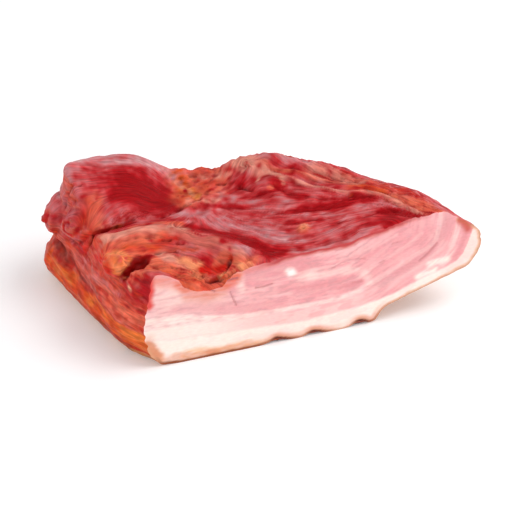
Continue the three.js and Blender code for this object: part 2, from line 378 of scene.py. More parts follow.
# %% The height of the relief, in mm
def relief(places, facing):
    m = surface_masks(places, facing)
    x, y, z = places.T
    warp = 1.6 * uneven(places, (9, 9, 9), 1)
    wx, wy = x + warp, y - warp

    # The lean on top: strands where it is whole, lumps and folds where it is torn.
    along_top = np.column_stack([x / 11, y / 11, strand_number(places)])
    coarse = uneven(along_top, (1, 1, 3.6), 2)
    fine = uneven(along_top, (0.6, 0.6, 1.5), 3)
    rough = np.zeros(len(places))
    for line, width in CRAGS:
        rough = np.maximum(rough, near_line(wx, wy, line, width, 0.6))
    lumps = uneven(places, (6, 6, 6), 4, 3)
    folds = 1 - 2 * np.abs(uneven(places, (7, 7, 7), 5, 2))
    hump = near_line(x, y, [(0, 88), (20, 84), (34, 76)], 20, 0.4)
    even = (1 - 0.6 * rough) * (1 - 0.5 * hump) * (1 - 0.8 * tangle(places))
    front = near_line(x, y, [(-10, 36), (12, 36), (32, 28), (44, 16)], 9, 0.5)
    h = m["top"] * even * (0.75 * coarse + 0.45 * fine)
    h += m["top"] * rough * (1 - 0.4 * front) * (1.1 * lumps + 0.6 * folds - 0.3)

    # Seams between the muscles, furrows and narrow cuts.
    for line in FURROWS:
        h -= 0.7 * m["top"] * near_line(wx, wy, line, 1.4, 0.9)
    for depth, half_width, line in GROOVES:
        h -= depth * near_line(x + 0.4 * warp, y - 0.4 * warp, line, half_width, 0.8)
    h -= 1.1 * m["top"] * near_line(wx, wy, SEAM_SLIT, 1.6, 0.9) * ease(14, 22, x)
    for line in (PALE_SEAM, UPPER_SEAM):
        beside = near_line(wx, wy, line, 3.2, 0.6) - 1.5 * near_line(wx, wy, line, 1.0, 0.7)
        h -= 0.45 * m["top"] * beside
    h += 0.8 * m["top"] * near_line(wx, wy, FRONT_RIDGE, 1.6, 0.9)

    # Small lumps: a round one, and a knob of fat with a dimple.
    h += 0.5 * m["top"] * bell(np.hypot(x - ROUND_LUMP[0], y - ROUND_LUMP[1]) / 3.4)
    knob = np.hypot(x - NODULE[0], y - NODULE[1])
    h += m["top"] * (1.2 * bell((knob - 1.9) / 0.9) - 0.3 * bell(knob / 1.2))

    # The sides: level flow, the crease over the fat, and the rolled muscle ends.
    flow = uneven(places, (16, 16, 3.6), 6)
    flow_fine = uneven(places, (8, 8, 1.7), 7)
    h += m["wall"] * (0.9 * flow + 0.5 * flow_fine + 0.5 * uneven(places, (12, 12, 12), 8, 3))
    far = ease(78, 90, y)
    crease = bell((z - 21 - far - 0.7 * warp) / (1.4 + 1.4 * far)) * ease(35, 75, y) * m["left"]
    h -= crease * (0.6 + 3.4 * far)
    for part, rise, half_width, line in BULGES:
        across, up = (y, z) if part == "left" else (x, y)
        h += rise * m[part] * near_line(across, up, line, half_width, 0.8)
    for middle, radius in zip(ROLLS, (12, 13)):
        r, wave = rings(y, z, middle, 0.8 * warp)
        inside = m["left"] + 0.6 * m["top"] * ease(-4, -10, x)
        inside = inside * (1 - ease(radius * 0.8, radius * 1.1, r))
        h += 0.6 * inside * wave

    # The pockets, the torn edge, the bead of fat and the rind.
    for name in POCKETS:
        h += m[name] * (0.35 * uneven(places, (5, 5, 2.2), 9, 2) - 0.1)
    h += 0.8 * m["tear"] * uneven(places, (3.2, 5, 7), 10, 2)
    bead = 1 - ease(0.8, 1.4, in_lump(places, *FAT_BEAD))
    h += bead * (1.1 * uneven(places, (5, 5, 5), 12, 2) + 0.7 * uneven(places, (2.4, 3.5, 2.4), 13))
    h += m["rind"] * 0.3 * uneven(places, (5, 5, 5), 11, 3) * ease(0.2, 1.2, z)
    return h

# %% Move the skin
ON_TABLE = 0.6  # mm: a place lower than this lies on the table and doesn't sink
ABOVE_TABLE = 0.02  # mm: no other place comes lower than this


def move_skin(piece):
    places, facing = points_of(piece), facing_of(piece)
    height = relief(places, facing)
    moved = places + facing * height[:, None]
    below = ease(0.2, 0.7, -facing[:, 2]) * (1 - ease(8, 10, places[:, 2]))
    for at, half_width in RIND_FOLDS:  # a fold is open at the cut and closes right behind it
        across = (places[:, 0] - at) / half_width
        closing = bell(across / 1.6) * ease(0.2, 1.6, places[:, 1])
        moved[:, 2] *= 1 - below * closing
    lowest = np.where(places[:, 2] < ON_TABLE, places[:, 2], ABOVE_TABLE)
    moved[:, 2] = np.maximum(moved[:, 2], lowest)
    piece.data.vertices.foreach_set("co", frame_metres(moved).ravel())
    piece.data.update()
    print("relief from", round(height.min(), 2), "to", round(height.max(), 2), "mm")


move_skin(slab)

# %% [markdown]
# ## The cut
# One stroke of a long knife opened the slab. A blade with a fine grid on its face is taken out of the
# sculpted slab by one Boolean. It leaves a crisp edge, and the faces that it leaves keep the blade's
# material, so the fresh cut is known from the smoked skin from here on.

# %% Cut with a fine blade
BLADE_PITCH = 0.6  # mm between the grid lines on the blade's face
BLADE_FROM, BLADE_TO = np.array([-40, -4]), np.array([186, 72])  # its face in x and z
BLADE_THICK = 14  # mm
SLIVER = 4e-5  # metres: the stroke leaves thinner slivers than this at its edge


def fine_blade():
    wide, tall = BLADE_TO - BLADE_FROM
    bm = bmesh.new()
    bmesh.ops.create_grid(  # one metre square, then scaled to the blade
        bm, x_segments=int(wide / BLADE_PITCH), y_segments=int(tall / BLADE_PITCH), size=0.5
    )
    bmesh.ops.scale(bm, verts=bm.verts, vec=(wide / 1000, tall / 1000, 1))
    bmesh.ops.rotate(bm, verts=bm.verts, matrix=Matrix.Rotation(np.pi / 2, 3, "X"))
    across, up = (BLADE_FROM + BLADE_TO) / 2
    bmesh.ops.translate(bm, verts=bm.verts, vec=frame_metres((across, 0, up)))
    front = bmesh.ops.extrude_face_region(bm, geom=bm.faces[:])
    moved = [v for v in front["geom"] if isinstance(v, bmesh.types.BMVert)]
    bmesh.ops.translate(bm, verts=moved, vec=(0, -BLADE_THICK / 1000, 0))
    bmesh.ops.recalc_face_normals(bm, faces=bm.faces)
    return piece_from(bm, "blade")


smoked = bpy.data.materials.new("smoked_lean_and_fat")
fresh = bpy.data.materials.new("fresh_cut_belly")
slab.data.materials.append(smoked)
blade = fine_blade()
blade.data.materials.append(fresh)
stroke = slab.modifiers.new("knife", "BOOLEAN")
stroke.operation, stroke.solver = "DIFFERENCE", "MANIFOLD"
stroke.material_mode = "TRANSFER"
stroke.object = blade
apply_modifiers(slab)
bpy.data.objects.remove(blade)

bm = bmesh.new()
bm.from_mesh(slab.data)
bmesh.ops.remove_doubles(bm, verts=bm.verts, dist=SLIVER)
for edge in bm.edges:  # the cut's edge stays sharp
    edge.smooth = len({f.material_index for f in edge.link_faces}) == 1
print("open edges:", sum(not e.is_manifold for e in bm.edges))
bm.to_mesh(slab.data)
bm.free()
slab.data.shade_smooth()
print("triangles:", sum(len(p.vertices) - 2 for p in slab.data.polygons))

# %% [markdown]
# ## Colour names
# Every colour is one that a butcher could name. They are written as on a screen, and one function
# turns them into the linear values that the renderer works in.

# %% Colours of the meat
def linear(colour):
    v = np.array([int(colour[i : i + 2], 16) for i in (1, 3, 5)]) / 255
    return np.where(v <= 0.04045, v / 12.92, ((v + 0.055) / 1.055) ** 2.4)


MEAT = {
    "deep crimson": "#990810",
    "crimson": "#AC131B",
    "smoked red": "#B93034",
    "rose": "#C55557",
    # silverskin and pale skin: the membrane's greyish pink, and also painted sheen, the studio's reflection
    # on the lean
    "silverskin": "#C57B7F",
    "pale skin": "#D09797",
    "rust": "#C23A1C",
    "orange fat": "#CC4C22",
    "amber fat": "#E5873C",
    "side fat": "#DC6C32",
    "light orange": "#F29468",
    "bead fat": "#F07C46",
    "bright salmon": "#DC4A44",
    "pale amber": "#EDB98F",
    "smoked edge": "#D88C68",
    "salmon": "#E0694E",
    "pale membrane": "#DC8C7A",
    "dull rose": "#BE6468",
    "bright red": "#C81C12",
    "brick": "#B02A1E",
    "smoky lean": "#C14A3A",
    "dusky pink": "#CB675C",
    # maroon: partly the meat's dark red, partly painted shade in grooves, the slit and creases; pocket:
    # painted shade inside pockets
    "maroon": "#6E100B",
    "pocket": "#8A0A08",
    "rind": "#B9763F",
    "rind brown": "#7E4423",
    "lean pink": "#ECA4A7",
    "deep pink": "#DD9094",
    "light pink": "#F0BDBB",
    "thin pink": "#F4C8C3",
    "cream": "#F9E8DE",
    "grey pink": "#D69A9C",
    "white fat": "#FFF2EA",
    "wisp": "#F5D3CB",
    # cut crease: painted shade in the small tears of the cut
    "cut crease": "#B9696B",
    "tan skin": "#D9A583",
    "brown skin": "#8E4A2A",
    "fold shade": "#560F04",
}
MEAT = {name: linear(colour) for name, colour in MEAT.items()}

# %% Lay one colour over another
def blend(below, above, share):
    share = np.clip(share, 0, 1)[:, None]
    return below * (1 - share) + above * share


def glaze(paint, *coats):
    """Lays colours over what is there, one after another; a coat is a name and a mask."""
    for name, mask in coats:
        paint = blend(paint, MEAT[name], mask)
    return paint


def one_colour(name, count):
    return np.tile(MEAT[name], (count, 1))


print(len(MEAT), "colours")

# %% [markdown]
# ## Smoke, glaze and painted sheen
# Smoke dries and darkens the lean to crimson, and where silverskin covers it, it is a greyish pink. The
# same greyish pink is also painted sheen: the soft reflection of the studio on the greasy lean is laid
# into the colour. So the lean has one tone, from -1 for deep crimson to almost 2 for pale skin and sheen.
# Ridges are painted a little lighter and grooves darker, as painted highlight and painted shade. Broad
# stains set the tone, the strands break it up, and only then is it turned into a colour.

# %% Tones of the lean: how much, half width in mm, line in x and y
# From 1.25 up the tones are silverskin and painted sheen.
TONES = {
    -1.0: "deep crimson",
    -0.5: "crimson",
    0.0: "smoked red",
    0.55: "rose",
    1.25: "silverskin",
    1.9: "pale skin",
}
TOP_TONES = [
    (0.12, 20, [(62, 48), (90, 36), (122, 22)]),
    (0.35, 9, [(-10, 92), (-4, 84), (-3, 74)]),
    # The hump's back rim: mostly painted reflection of the bright studio behind it, at the grazing slope.
    (1.5, 5.5, [(-2, 106), (3, 107), (15, 104), (27, 102), (38, 98), (46, 93)]),
    (0.7, 6, [(-14, 97), (-8, 103)]),
    (-0.7, 2.2, [(-8, 100), (2, 103), (13, 106), (24, 104)]),
    (0.2, 5, [(2, 68), (11, 65), (22, 64), (34, 66)]),
    (-1.0, 7.5, [(12, 82), (18, 77), (26, 79), (36, 74), (44, 70)]),
    (-0.6, 4.5, [(16, 80), (24, 78), (34, 73)]),
    (-0.9, 2.6, [(27, 63), (35, 66), (43, 69)]),
    (-0.5, 5, [(12, 90), (24, 88)]),
    # Greyish-pink streaks of silverskin, partly painted sheen.
    (0.75, 4, [(34, 62), (44, 57), (48, 50), (54, 40), (61, 32), (66, 25), (72, 17)]),
    (0.55, 4.2, [(70, 18), (82, 12.5), (95, 12), (106, 16)]),
    (0.3, 5.5, [(56, 60), (66, 54), (80, 43), (92, 39)]),
    (0.35, 3.8, [(98, 24), (112, 24), (123, 24), (130, 22)]),
    (0.35, 3.4, [(104, 18), (114, 17), (122, 15)]),
    (0.3, 4, [(67, 34), (76, 26), (84, 30)]),
    (-1.2, 3.0, [(24, 44.5), (31, 44), (37, 40), (42, 36), (48, 30)]),
    (-1.3, 4.5, [(47, 28), (52, 24), (56, 20)]),
    (-0.6, 3, [(56, 20), (59, 13)]),
    (-1.3, 3.4, [(58, 12), (61, 8), (65, 5)]),
    (-0.5, 3, [(121, 3), (130, 2)]),
    (-0.4, 2.4, [(76, 5), (84, 5.5), (91, 5)]),
    (-0.5, 2.2, [(100, 6), (108, 6), (116, 6.5), (126, 8)]),
    (0.8, 3.0, [(72, 2), (86, 2.5), (100, 3.4), (114, 0.8)]),
    (0.9, 4, [(66, 62), (72, 57)]),
    (-0.8, 4.5, [(8, 73), (24, 69)]),
    (-0.7, 4, [(-2, 73), (6, 73)]),
    (0.9, 4, [(23, 31), (32, 28)]),
    (0.6, 2.4, [(57, 14), (60, 11)]),
    (-0.7, 4, [(-14, 70), (-12, 74), (-10, 70)]),
    (-0.8, 2, [(54, 60.5), (60, 57), (66, 53)]),
    (-1.0, 2.6, [(68, 61), (74, 57), (80, 52)]),
    (-0.7, 2, [(78, 38), (86, 36)]),
    (-1.1, 2, [(79, 27), (85, 25), (93, 22)]),
    (-1.0, 2.2, [(88, 34.5), (97, 31.5), (104, 29)]),
    (-1.3, 3.2, [(99, 31.5), (108, 29.5), (117, 29.5), (124, 28)]),
    (-0.7, 2.4, [(98, 13), (109, 12.5), (122, 14), (131, 13)]),
    (-1.1, 3.2, [(124, 15), (131, 9), (135, 2)]),
    (-0.9, 2.6, [(142, 9), (148, 4)]),
    (-0.35, 5, [(66, 84), (70, 78), (74, 70)]),
    (-0.5, 3.4, [(83, 66), (87, 62)]),
    (-0.9, 2.4, [(85, 58), (88, 55), (88, 46), (94, 41)]),
    (0.9, 4.5, [(92, 82), (98, 75), (104, 68)]),
    (0.4, 4, [(74, 92), (84, 92), (93, 84)]),
    (-0.6, 4.5, [(97, 66), (105, 60), (114, 55), (124, 44)]),
    (-0.7, 3, [(112, 48), (120, 43), (127, 38)]),
    # Lighter along the front ridge: partly membrane, partly painted sheen.
    (0.6, 2.2, [(25, 28), (34, 23), (43, 18), (51, 13), (57, 9)]),
]
SIDE_TONES = [  # the same on the left side: lines in y and z
    (0.7, 3, [(112, 27), (88, 24), (64, 28), (40, 30.5), (20, 31)]),
    (-0.5, 2.2, [(92, 31), (64, 33), (40, 34), (24, 35)]),
    (0.6, 2.4, [(76, 36), (48, 37), (27, 38)]),
    (-1.2, 6, [(16, 44), (9, 42), (3, 42)]),
    (-1.5, 4.5, [(2, 50), (2, 42), (1, 38)]),
    (-0.8, 4, [(76, 43), (73, 42)]),
    (-0.7, 4, [(96, 38), (90, 34)]),
    (0.7, 3, [(84, 42), (88, 46), (96, 50)]),
]
SIDE_COLOURS = {
    -1.5: "deep crimson",
    -0.9: "crimson",
    -0.4: "brick",
    0.0: "smoky lean",
    0.5: "dusky pink",
    1.1: "dull rose",
}

# %% Stains of smoked fat and membrane: colour, strength, half width, line in x and y
TOP_STAINS = [
    ("salmon", 0.8, 7, [(45, 74), (46, 84), (48, 98), (50, 112)]),
    ("orange fat", 0.8, 4, [(44, 76), (45, 86), (46, 96)]),
    ("salmon", 0.7, 7, [(58, 78), (62, 87), (63, 104)]),
    ("rust", 0.5, 3.5, [(55, 80), (57, 90), (63, 104)]),
    ("pale membrane", 0.6, 2.6, [(58, 88), (63, 87), (68, 84)]),
    ("amber fat", 0.6, 2.2, [(45, 82), (47, 78), (49, 74)]),
    ("pale membrane", 0.5, 1.6, [(42, 92), (44, 84), (47, 76)]),
    ("pale membrane", 0.6, 2.2, [(44, 71), (50, 68), (56, 66)]),
    ("bright red", 0.5, 2.0, [(60, 92), (60, 84), (60, 79)]),
    ("bright red", 0.5, 3, [(50, 104), (53, 98)]),
    # The maroon lines below follow the grooves: painted shade in them.
    ("maroon", 0.9, 0.9, [(62, 79.8), (65, 78)]),
    ("maroon", 0.6, 0.9, [(70, 71), (72, 68), (74, 62)]),
    # Maroon in the slit: painted shade.
    ("maroon", 0.9, 2.1, [(-10, 59.5), (-5, 58.5)]),
    ("maroon", 0.9, 1.3, [(-5, 58.5), (0, 59.8)]),
    ("maroon", 0.8, 0.8, [(0, 60), (6, 61), (12, 61.5)]),
    ("bright red", 0.8, 3.2, [(-14, 51), (-13, 43), (-12, 36)]),
    ("pale membrane", 0.5, 4, [(78, 84), (84, 76)]),
    # Crimson just in front of the slit: painted shade below its lip.
    ("crimson", 0.6, 2.2, [(-8, 55), (0, 55), (8, 57)]),
    # Silverskin with painted sheen along the crest's back edge.
    ("silverskin", 0.75, 3.2, [(80, 92), (86, 84), (92, 79), (99, 75), (108, 65), (116, 58)]),
    ("pale membrane", 0.8, 3, [(76, 88), (80, 80), (83, 73)]),
    ("pale membrane", 0.75, 0.9, [(78, 67), (81, 70), (86, 69.5), (88.5, 63), (89, 58)]),
    ("salmon", 0.6, 1.0, [(81.5, 59), (82.5, 58.5)]),
    ("salmon", 0.5, 5, [(78, 96), (90, 90), (100, 82)]),
    ("rust", 0.75, 5, [(56, 110), (72, 104), (92, 98), (108, 92), (126, 78)]),
    ("rust", 0.6, 4, [(112, 62), (124, 52), (134, 40), (143, 26), (148, 12)]),
    ("orange fat", 0.75, 3, [(118, 39), (126, 36), (131, 31)]),
    ("salmon", 0.75, 4, [(134, 24), (139, 17), (143, 9), (146, 2)]),
    ("salmon", 0.55, 1.3, [(84, 80), (88, 71), (93, 65), (99, 60), (111, 52), (122, 42)]),
    ("pale membrane", 0.65, 1.1, PALE_SEAM),
    # Pale membrane along the front ridge, with painted sheen where the ridge catches the light.
    ("pale membrane", 0.95, 3.6, [(-9, 49), (-3, 45), (5, 45), (14, 44.5), (20, 44.5), (28, 41)]),
    ("pale membrane", 0.8, 2.2, [(28, 41), (34, 33), (40, 25), (45, 16), (49, 9)]),
    ("salmon", 0.7, 2.2, [(8, 52), (20, 52), (30, 47)]),
    ("smoky lean", 0.9, 6, [(-6, 38), (6, 37), (18, 35), (27, 31), (36, 25)]),
    ("salmon", 0.8, 3.5, [(-8, 42), (0, 41), (10, 40), (18, 38)]),
    ("orange fat", 0.6, 2.2, [(0, 36), (8, 36), (14, 34)]),
    ("bright red", 0.9, 2.4, [(16, 36), (21, 36.5), (26, 34)]),
    ("bright red", 0.7, 2.0, [(2, 34), (7, 34), (11, 32)]),
    ("dusky pink", 0.8, 3.2, [(30, 34), (35, 28), (40, 21), (44, 15)]),
    # Maroon in two narrow grooves: painted shade.
    ("maroon", 0.9, 0.8, [(19, 37), (22, 36.3)]),
    ("maroon", 0.85, 0.8, [(24.5, 33.5), (27, 32)]),
    ("salmon", 0.95, 6.5, [(5, 27), (11, 21), (18, 17), (24, 10)]),
    ("orange fat", 0.6, 7, [(6, 12), (14, 10), (22, 6)]),
    ("pale membrane", 0.95, 2.6, [(14, 28.5), (20, 24), (24, 19)]),
    ("maroon", 0.95, 0.8, [(21.8, 28.6), (22.8, 28)]),
    ("light orange", 1.0, 3.2, [(24, 22), (28, 18), (28.5, 11)]),
    ("salmon", 0.8, 2.6, [(45, 9), (49, 6), (54, 4)]),
    ("bright red", 1.0, 3.6, [(32, 13), (36, 10), (40, 11)]),
    # Maroon in the narrow grooves by the torn edge: painted shade.
    ("maroon", 1.0, 1.1, [(43.6, 12.5), (41, 8.5), (37, 5.5), (31.5, 5)]),
    ("maroon", 0.9, 0.7, [(29.6, 6), (35, 3.4), (42, 1.2)]),
    ("salmon", 0.85, 3, [(-4, 16), (2, 8)]),
    ("light orange", 0.9, 3.2, [(39, 5), (43, 4), (48, 2)]),
    ("pale membrane", 0.5, 5, [(106, 60), (114, 54), (123, 46)]),
    ("dull rose", 0.7, 3.5, [(-16, 74), (-12, 76), (-14, 84)]),
    ("orange fat", 0.4, 3, [(-9, 46), (-11, 52)]),
    # Pale membrane with painted sheen on the front ridge.
    ("pale membrane", 0.8, 2.4, [(-9, 47), (-3, 45), (6, 45.5), (16, 45)]),
    ("pale membrane", 0.6, 2.2, [(72, 90), (78, 87), (84, 84)]),
    ("salmon", 0.7, 3.5, [(-6, 63), (-6, 70), (-4, 76)]),
    ("dusky pink", 0.5, 2.0, [(-9, 66), (-7, 71), (-5, 76)]),
    ("rust", 0.5, 4, [(-12, 62), (-10, 70), (-8, 76)]),
]
SIDE_STAINS = [
    ("bright red", 0.9, 4, [(62, 38), (52, 40), (44, 41)]),
    ("rust", 0.85, 4.5, [(50, 45), (38, 44), (28, 41)]),
    ("rust", 0.5, 3, [(10, 40), (7, 36)]),
    ("rust", 0.8, 4, [(92, 28), (80, 27), (70, 27)]),
    ("orange fat", 0.7, 2.5, [(64, 46), (58, 49), (54, 44), (56, 38)]),
    # Maroon along the crease over the fat: painted shade in the crease.
    ("maroon", 0.5, 1.2, [(114, 21), (95, 20), (78, 19.5)]),
    ("maroon", 0.25, 1.6, [(78, 20), (60, 20.5), (40, 23)]),
    ("bright red", 0.7, 4, [(48, 41), (38, 41), (30, 42), (22, 44)]),
    ("dusky pink", 0.6, 3.5, [(92, 42), (88, 36), (84, 32)]),
    # Painted shade in the crease over the fat.
    ("maroon", 0.6, 0.8, [(76, 22), (66, 20.5), (56, 20), (46, 20)]),
    ("dusky pink", 0.7, 2.2, [(70, 25), (58, 24), (48, 23)]),
    ("dusky pink", 0.8, 1.3, [(14, 38.6), (11.5, 38)]),
    ("salmon", 0.8, 1.6, [(19, 40), (16, 41)]),
    ("crimson", 0.85, 5.5, [(13, 37), (7, 37), (3, 42)]),
    # Painted highlight on the small nodule.
    ("pale amber", 0.6, 1.2, [(12.8, 38.4), (11.8, 38)]),
    ("salmon", 0.7, 3.5, [(1, 28), (8, 25), (14, 24)]),
    ("dull rose", 0.5, 3, [(84, 36), (90, 42), (88, 48)]),
    ("salmon", 0.6, 3.5, [(34, 26), (22, 25), (12, 27)]),
    ("crimson", 0.8, 3.2, [(56, 3), (30, 6), (12, 6), (3, 5)]),
    ("maroon", 0.6, 1.4, [(70, 6), (40, 8), (24, 9), (12, 7)]),
    ("maroon", 0.7, 2.0, [(44, 1), (28, 3), (14, 4), (4, 2)]),
    # Painted shade in the crease over the fat.
    ("maroon", 0.6, 0.9, [(92, 24), (84, 22.5), (76, 22)]),
]

# %% Patterns that all parts of the smoked skin share
DRIFT = 2.4  # mm that the edge of a wide stain wanders


def tone_colour(tone, colours=TONES):
    steps = sorted(colours)
    return np.column_stack(
        [np.interp(tone, steps, [MEAT[colours[t]][i] for t in steps]) for i in range(3)]
    )


def stain(across, up, drift, line, half_width):
    """A soft line whose edge wanders, and wanders less where it is narrow."""
    narrow = min(1, half_width / 4)
    return near_line(across + drift[0] * narrow, up + drift[1] * narrow, line, half_width, 0.75)


def skin_patterns(places, facing, cavity):
    p = SimpleNamespace(places=places, facing=facing, **surface_masks(places, facing))
    p.x, p.y, p.z = places.T
    along_top = np.column_stack([p.x / 10, p.y / 10, strand_number(places)])
    p.streak = uneven(along_top, (1, 1, 2.8), 31)
    p.streak_fine = uneven(along_top, (0.45, 0.45, 1.2), 32)
    p.side_streak = uneven(places, (14, 14, 2.6), 33)
    p.side_fine = uneven(places, (6, 6, 1.3), 34)
    p.cloud = uneven(places, (9, 9, 9), 35, 3)
    p.drift = [DRIFT * uneven(places, (6, 6, 6), seed) for seed in (36, 37)]
    p.blotch = uneven(places, (3.2, 3.2, 3.2), 38)
    # deep marks points in grooves and proud points on ridges: they carry painted shade and painted
    # highlight.
    p.deep, p.proud = ease(0.05, 0.7, cavity), ease(0.05, 0.6, -cavity)
    p.upward = ease(0.1, 0.5, facing[:, 2])
    return p

# %% Paint the lean on top
def paint_top(p):
    hump = near_line(p.x, p.y, [(-6, 92), (20, 86), (34, 78)], 22, 0.5)
    torn = np.maximum(0.75 * hump, tangle(p.places))
    strands = (1 - torn) * (0.75 * p.streak + 0.55 * p.streak_fine)
    mottle = (0.5 + 0.8 * torn - 0.45 * hump) * (p.cloud + 0.8 * p.blotch)
    mottle += 0.4 * torn * uneven(p.places, (1.8, 4, 4), 39)
    # Ridges are painted lighter and grooves darker: painted highlight and painted shade.
    tone = 0.05 + strands + mottle + 0.3 * p.proud - 0.4 * p.deep
    for amount, half_width, line in TOP_TONES:
        tone += amount * stain(p.x, p.y, p.drift, line, half_width)
    paint = tone_colour(tone)
    broken = 0.85 + (1 - torn) * (p.streak + 0.8 * p.streak_fine) + (0.5 + torn) * p.blotch
    broken = np.clip(broken, 0, 1.3)
    for name, strength, half_width, line in TOP_STAINS:
        mask = stain(p.x, p.y, p.drift, line, half_width)
        paint = glaze(paint, (name, strength * mask * broken * p.upward))
    return paint

# %% Paint the sides: orange fat over the rind, purplish lean above it
FAT_HEIGHT = 18  # mm above the rind, on average


def paint_side_fat(p):
    grain = p.side_streak + 0.5 * p.side_fine
    near_cut = (1 - ease(4, 22, p.y)) * (1 - ease(18, 28, p.z))
    near_cut *= np.clip(1 + 0.8 * p.side_streak, 0, 1)
    return glaze(
        one_colour("orange fat", len(p.x)),
        ("side fat", 0.8 * ease(-0.05, 0.4, grain)),
        ("amber fat", 0.12 * ease(0.2, 0.6, grain)),
        ("rust", 0.85 * ease(0.0, 0.4, -p.side_streak + 0.4 * p.blotch)),
        ("maroon", 0.7 * ease(0.1, 0.5, -p.side_fine) * (1 - ease(3, 9, p.above))),
        ("side fat", 0.9 * near_cut),
        ("amber fat", 0.15 * near_cut),
    )


def paint_sides(p):
    left = p.wall * ease(0.05, 0.4, -p.facing[:, 0])
    tone = 0.05 + 0.7 * p.side_streak + 0.5 * p.side_fine + 0.6 * p.blotch + 0.4 * p.cloud
    # Ridges are painted lighter and grooves darker: painted highlight and painted shade.
    tone += 0.3 * p.proud - 0.4 * p.deep
    across, up = p.y + p.drift[1], p.z + 0.5 * p.drift[0]
    for amount, half_width, line in SIDE_TONES:
        tone += amount * left * near_line(across, up, line, half_width, 0.75)
    for middle, radius in zip(ROLLS, (11, 13)):
        r, wave = rings(p.y, p.z, middle, 0.5 * p.drift[0])
        inside = (left + p.top * ease(-6, -12, p.x)) * (1 - ease(radius * 0.7, radius * 1.1, r))
        tone += 0.8 * inside * wave
    lean = glaze(
        tone_colour(tone, SIDE_COLOURS),
        ("rust", 0.7 * ease(0.0, 0.5, p.cloud)),
        ("bright red", 0.5 * ease(0.1, 0.5, 0.8 * p.blotch - 0.6 * p.cloud)),
    )
    edge = FAT_HEIGHT + 2.4 * p.side_streak + 2 * p.cloud
    paint = blend(lean, paint_side_fat(p), 1 - ease(edge - 1.2, edge + 1.2, p.above))
    broken = np.clip(0.85 + 0.9 * p.side_streak + 0.7 * p.side_fine + 0.4 * p.blotch, 0, 1.3)
    for name, strength, half_width, line in SIDE_STAINS:
        mask = stain(p.y, p.z, (p.drift[1], 0.6 * p.drift[0]), line, half_width)
        paint = glaze(paint, (name, strength * mask * broken * left))
    return paint

# %% Paint the rind underneath, dark in its folds
def paint_rind(p):
    skin = glaze(one_colour("rind", len(p.x)), ("rind brown", 0.7 * ease(0, 0.6, p.cloud)))
    for at, half_width in RIND_FOLDS:
        fold = bell((p.x - at) / half_width / 1.4) * (1 - ease(8, 16, p.y))
        skin = glaze(skin, ("fold shade", fold))
    return skin

# %% Paint the torn edge, the pockets and the beads of fat
def paint_torn_places(paint, p):
    x, y, z, cloud, blotch = p.x, p.y, p.z, p.cloud, p.blotch
    paint = glaze(
        paint,
        ("salmon", 0.9 * p.tear),
        ("orange fat", 0.6 * p.tear * ease(0, 0.5, cloud + 0.5 * blotch)),
        ("bright red", 0.6 * p.tear * ease(0.05, 0.5, -cloud + 0.5 * blotch)),
    )
    for name, mask in (("corner", p.corner), ("slit", p.slit)):
        middle, reach, _ = POCKETS[name]
        # Inside the corner and slit pockets: crimson meat, and the pocket colour, stronger lower down, as
        # painted shade.
        low_down = ease(0.0, -0.55, (z - middle[2]) / reach[2])
        inside = mask * ease(-12.5, -9.5, x)
        paint = glaze(paint, ("crimson", 0.8 * inside), ("pocket", inside * (0.3 + 0.7 * low_down)))
    paint = glaze(
        paint,
        ("salmon", 0.7 * p.hollow),
        ("bright red", p.hollow * ease(15.5, 12.5, y)),
        ("crimson", 0.7 * p.hollow * ease(11, 8, y) * ease(34, 38, x)),
    )
    bead = 1 - ease(0.9, 1.3, in_lump(p.places, *FAT_BEAD))
    # lit: painted highlight on the bead's upper side, broken by mottling.
    lit = ease(0, 0.5, cloud + 0.6 * blotch + 0.4 * p.facing[:, 2] - 0.2)
    # under and beside: painted shade on the bead's lower right side, where it turns away from the light.
    under = ease(-0.8, 0.8, 43.4 + 0.5 * x - z) * ease(0.2, 0.6, -p.facing[:, 1])
    beside = ease(-10, -8, x) * ease(9, 7, x) * ease(18, 21, y) * ease(33, 30, y)
    knob = np.hypot(x - NODULE[0], y - NODULE[1])
    return glaze(
        paint,
        ("bead fat", bead),
        ("light orange", 0.6 * bead * lit),
        ("bright salmon", bead * ease(0.1, 0.5, -cloud + 0.8 * p.side_fine)),
        ("bright red", bead * ease(-9.5, -12, x)),
        ("pocket", under * beside * ease(36, 38, z)),
        ("light orange", 0.85 * bell(knob / 2.4) * p.upward),
    )

# %% Put the smoked skin together
def smoked_paint(places, facing, cavity):
    p = skin_patterns(places, facing, cavity)
    paint = blend(paint_top(p), paint_sides(p), p.wall)
    paint = blend(paint, paint_rind(p), p.rind)
    paint = paint_torn_places(paint, p)
    return paint * (1 - 0.4 * p.deep)[:, None]  # painted shade: points deep in grooves are darkened

# %% [markdown]
# ## The cut face
# The cut shows the belly in layers: rind, cream back fat, a thin pale lean, a white line of fat, and
# the thick pink lean with its own wisps of fat. Each boundary is a line of heights along the cut.
# Smoke has gone a little way in from the outside, so the upper edge is red, and the rind's edge is tan.

# %% Layers of the cut: x and height in mm
FAT_TOP = [
    (-6, 16), (0, 15), (10, 14), (25, 13), (35, 12), (50, 11), (65, 10), (80, 9.5), (95, 10.5),
    (106, 11), (115, 12.5), (122, 14), (128, 15.5), (134, 17.5), (141, 20), (148, 22.5), (153, 24),
    (158, 26), (161, 29), (163.5, 35), (165.5, 41), (166.5, 50),
]
LINE_LOW = [
    (-6, 21), (15, 20.5), (28, 19.5), (40, 17.8), (60, 16.8), (80, 16.5), (95, 16.8), (106, 18.5),
    (113, 21.5), (119, 24.5), (127, 28.6), (135, 32.3), (140, 34.4), (144, 37), (147, 40), (148.5, 46),
    (149.5, 60),
]
LINE_HIGH = [
    (-6, 30), (0, 28.5), (15, 26), (25, 24), (35, 21.5), (50, 19.8), (65, 19.2), (85, 18.8), (95, 19.3),
    (106, 21), (113, 24), (119, 27), (127, 31), (135, 35), (140, 37), (143, 39.4), (145, 42), (146, 47),
    (147, 60),
]
